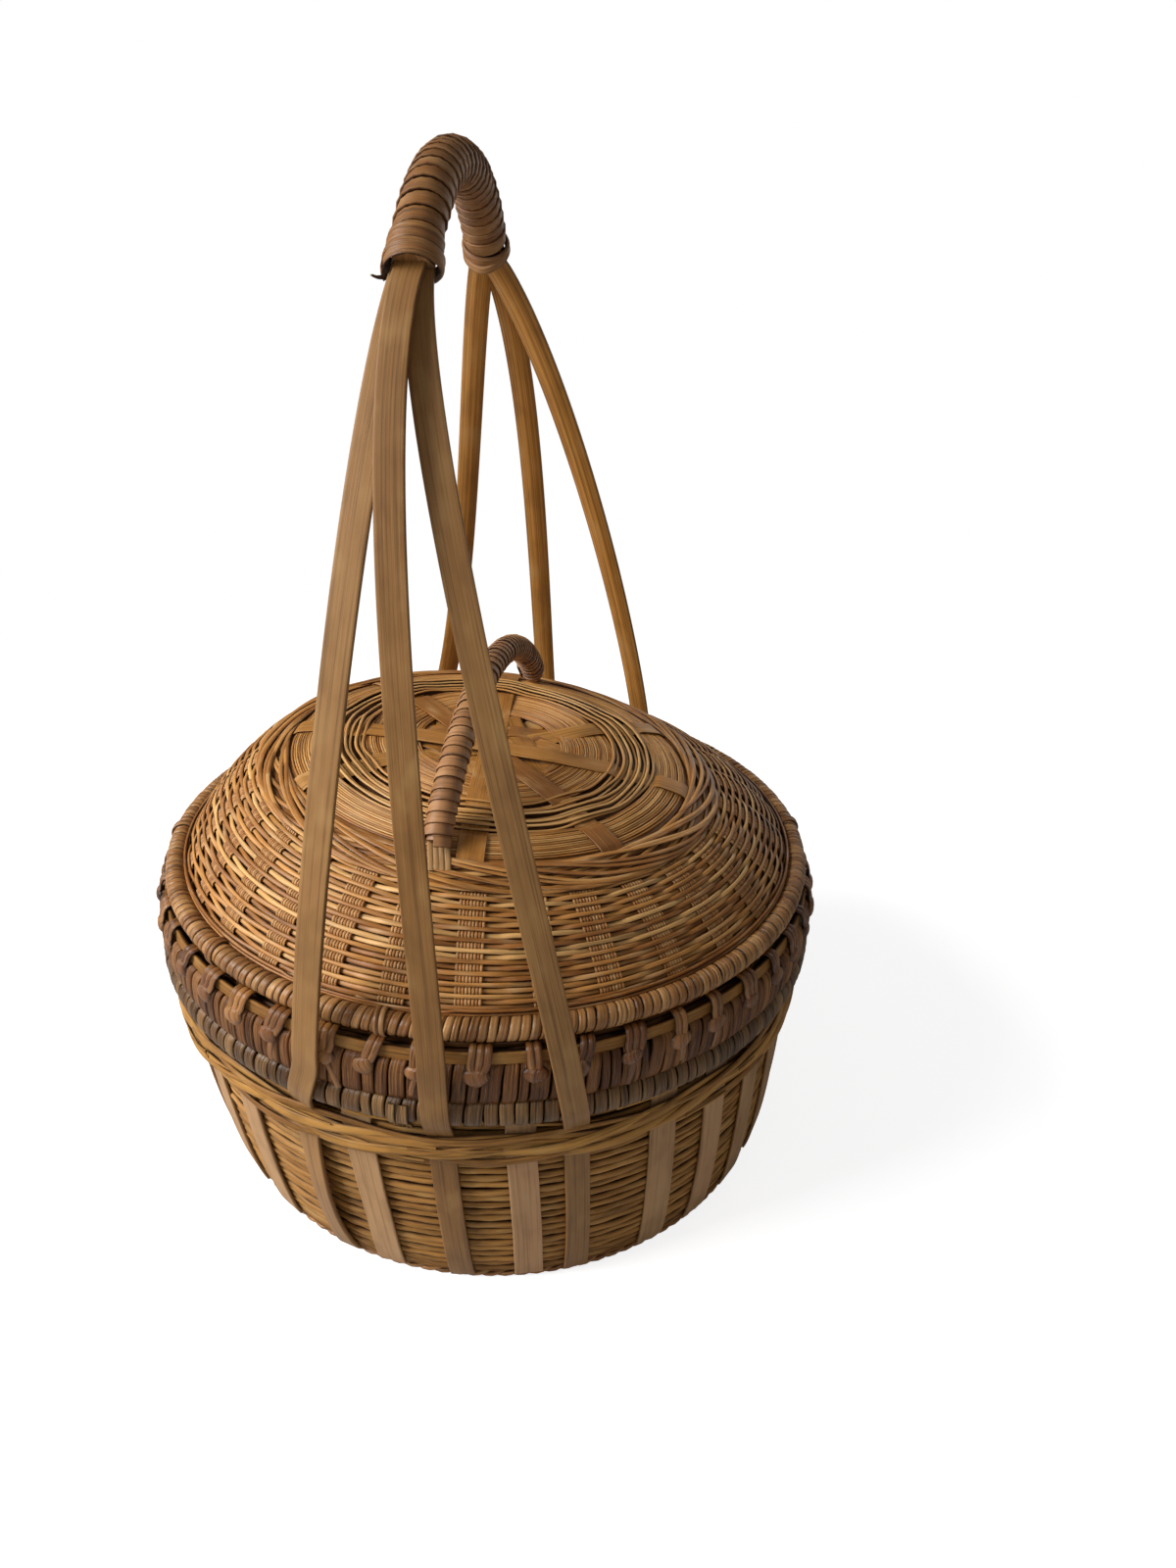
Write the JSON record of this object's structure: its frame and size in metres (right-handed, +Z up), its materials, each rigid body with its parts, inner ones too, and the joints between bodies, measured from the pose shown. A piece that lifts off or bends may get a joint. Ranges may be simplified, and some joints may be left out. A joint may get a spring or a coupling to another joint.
{
  "type": "lidded rattan basket",
  "caption": "Round woven basket with a lift-off domed lid, wrapped rims and a tall bamboo strip handle with a cane-wound grip.",
  "frame": {"origin": "on the floor, at the middle of the rim's axis", "axes": "+Z up; the tall handle stands in the YZ plane, with its near legs at -Y, as the picture shows it"},
  "size_m": [0.3116, 0.3234, 0.4495],
  "materials": {
    "bowl_weave": "dry split-rattan weave, satin",
    "stave": "pale flat bamboo splint, satin",
    "flat_strand": "yellow-tan flat cane, satin",
    "bamboo_strip": "planed bamboo strip with lengthwise grain, satin",
    "rim_binding": "dull brown binding cane",
    "grey_binding": "glossy grey-brown binding cane",
    "lid_ring_binding": "honey-brown fine binding cane, satin",
    "lid_weave": "honey-tan split-bamboo weave, satin",
    "grip_cane": "smooth brown wrapping cane, semi-gloss"
  },
  "bodies": {
    "basket": {"bowl_wall": "bowl_weave", "base_mat": "bowl_weave", "foot_hoop": "rim_binding", "handle_strip_left": "bamboo_strip", "handle_strip_middle": "bamboo_strip", "handle_strip_right": "bamboo_strip", "stave_right_1": "stave", "stave_right_2": "stave", "stave_right_3": "stave", "stave_right_4": "stave", "stave_right_5": "stave", "stave_right_6": "stave", "stave_right_7": "stave", "stave_right_8": "stave", "stave_right_9": "stave", "stave_right_10": "stave", "stave_left_1": "stave", "stave_left_2": "stave", "stave_left_3": "stave", "stave_left_4": "stave", "stave_left_5": "stave", "stave_left_6": "stave", "stave_left_7": "stave", "stave_left_8": "stave", "stave_left_9": "stave", "stave_left_10": "stave", "stave_near_left": "stave", "stave_near_right": "stave", "stave_far_left": "stave", "stave_far_right": "stave", "band_strand_1": "flat_strand", "band_strand_2": "flat_strand", "band_strand_3": "flat_strand", "lower_hoop": "grey_binding", "rim_hoop": "rim_binding", "rim_strip": "flat_strand", "hoop_tie": "grey_binding", "inner_rim_hoop": "rim_binding", "grip_winding": "grip_cane", "grip_collar_near": "grip_cane", "grip_collar_far": "grip_cane"},
    "lid": {"lid_dome": "lid_weave", "lid_star_strip_1": "lid_weave", "lid_star_strip_2": "lid_weave", "lid_star_strip_3": "lid_weave", "lid_star_strip_4": "lid_weave", "lid_ring": "lid_ring_binding", "lid_tie_1": "lid_ring_binding", "lid_tie_2": "lid_ring_binding", "lid_tie_3": "lid_ring_binding", "lid_tie_4": "lid_ring_binding", "lid_tie_5": "lid_ring_binding", "arch_core": "bamboo_strip", "arch_winding": "grip_cane", "arch_tab_near": "flat_strand", "arch_tab_far": "flat_strand"}
  },
  "joints": [
    {"name": "lid_lift", "type": "slide", "parent": "basket", "child": "lid", "axis": [0, 0, 1], "range_m": [0, 0.02]}
  ]
}
